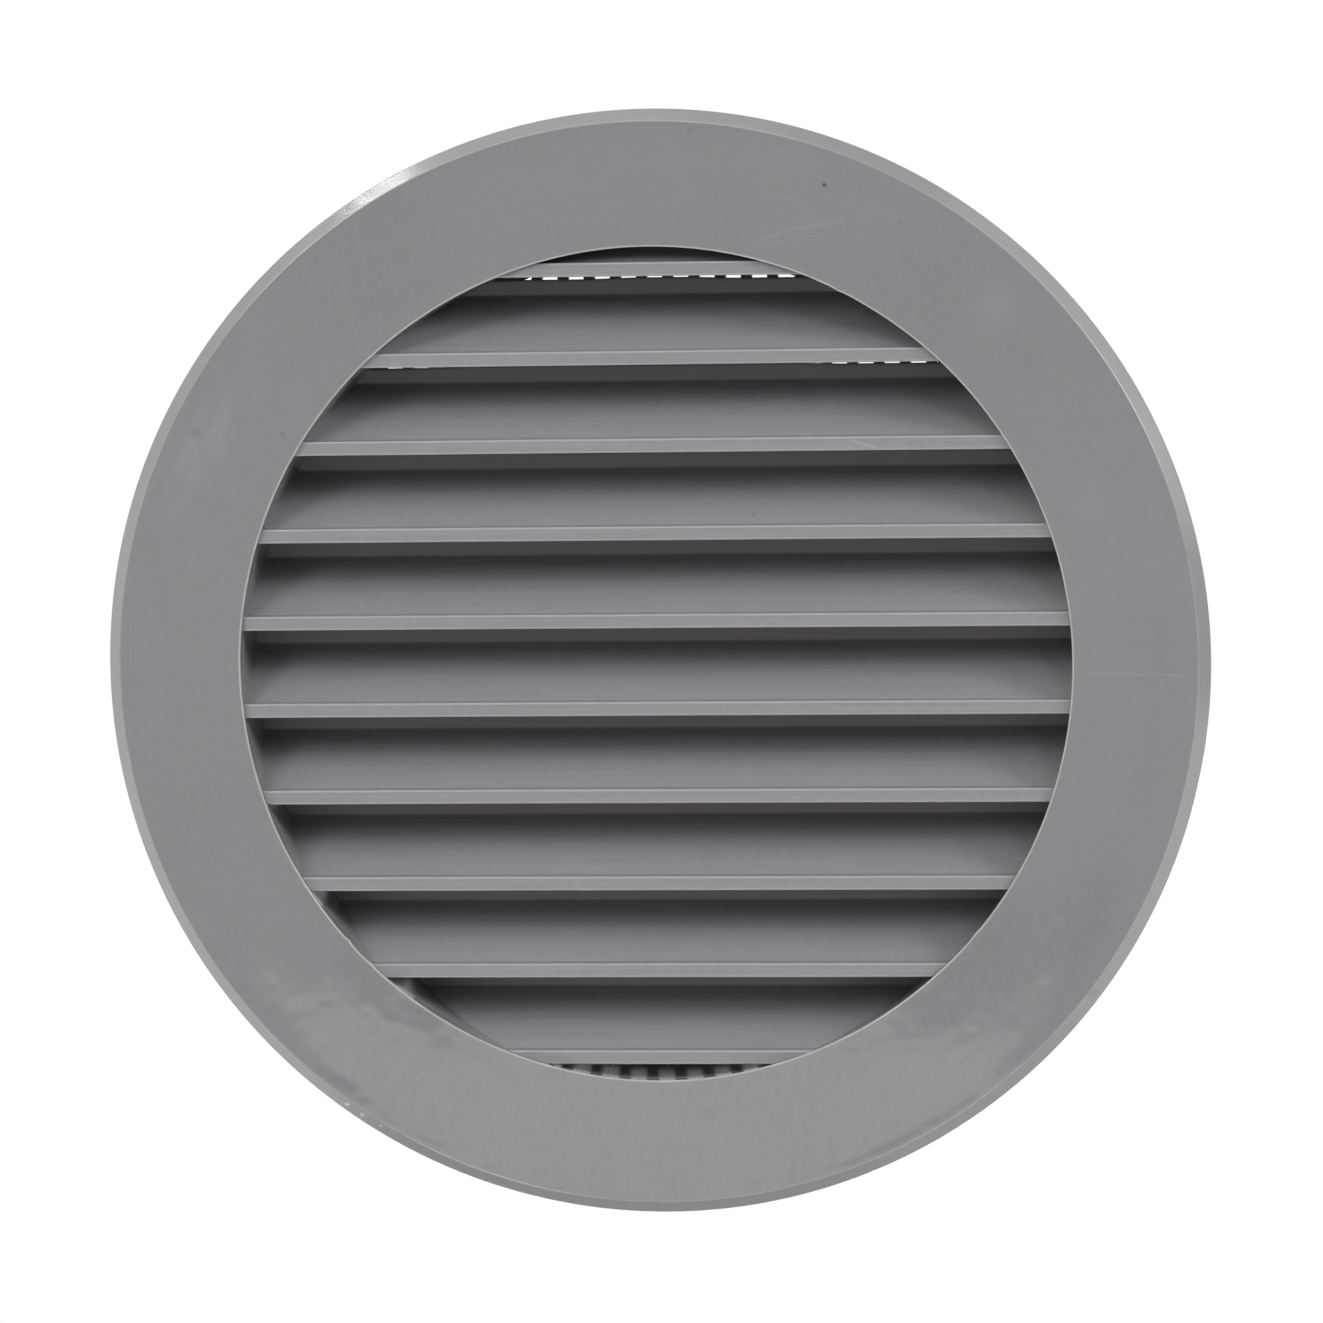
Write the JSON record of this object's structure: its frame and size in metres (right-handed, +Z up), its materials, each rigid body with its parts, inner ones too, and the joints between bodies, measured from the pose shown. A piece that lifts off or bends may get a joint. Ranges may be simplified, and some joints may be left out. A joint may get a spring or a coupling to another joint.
{
  "type": "round louvred vent grille",
  "caption": "Round fixed-blade vent grille with a wide bevelled flange, duct spigot, pull-out insect screen and wire spring clips that fold in to hold it in a duct.",
  "frame": {"origin": "on the duct axis, in the plane of the flange's back, which rests on the wall or ceiling", "axes": "+Y along the duct axis into the duct, the louvred face looks towards -Y, +Z up with the blades' lips at the bottom of each blade, +X to the right of a person facing the grille"},
  "size_m": [0.15, 0.04, 0.15],
  "materials": {
    "grey_pvc": "satin moulded grey PVC",
    "blade_pvc": "satin extruded grey PVC with fine lengthwise draw lines",
    "screen_pvc": "moulded grey PVC",
    "foam_seal": "closed-cell foam",
    "spring_steel": "drawn stainless spring wire"
  },
  "bodies": {
    "grille": {"face_flange": "grey_pvc", "spigot": "grey_pvc", "centring_collar": "grey_pvc", "blade_01": "blade_pvc", "blade_02": "blade_pvc", "blade_03": "blade_pvc", "blade_04": "blade_pvc", "blade_05": "blade_pvc", "blade_06": "blade_pvc", "blade_07": "blade_pvc", "blade_08": "blade_pvc", "blade_09": "blade_pvc", "blade_10": "blade_pvc", "wall_gasket": "foam_seal", "spring_pins": "spring_steel", "spring_coil_1": "spring_steel", "spring_coil_2": "spring_steel", "spring_coil_3": "spring_steel"},
    "screen": {"insect_screen": "screen_pvc", "screen_ring": "screen_pvc"},
    "spring_arm_1": {"spring_arm_1": "spring_steel"},
    "spring_arm_2": {"spring_arm_2": "spring_steel"},
    "spring_arm_3": {"spring_arm_3": "spring_steel"}
  },
  "joints": [
    {"name": "spring_arm_1_fold", "type": "hinge", "parent": "grille", "child": "spring_arm_1", "pos_m": [0, 0.0165, 0.0599], "axis": [-1, 0, 0], "range_deg": [0, 32], "stiffness_Nm_per_rad": 0.2},
    {"name": "spring_arm_2_fold", "type": "hinge", "parent": "grille", "child": "spring_arm_2", "pos_m": [-0.05187, 0.0165, -0.02995], "axis": [0.5, 0, -0.866], "range_deg": [0, 32], "stiffness_Nm_per_rad": 0.2},
    {"name": "spring_arm_3_fold", "type": "hinge", "parent": "grille", "child": "spring_arm_3", "pos_m": [0.05187, 0.0165, -0.02995], "axis": [0.5, 0, 0.866], "range_deg": [0, 32], "stiffness_Nm_per_rad": 0.2},
    {"name": "screen_pull_out", "type": "slide", "parent": "grille", "child": "screen", "axis": [0, 1, 0], "range_m": [0, 0.03]}
  ]
}
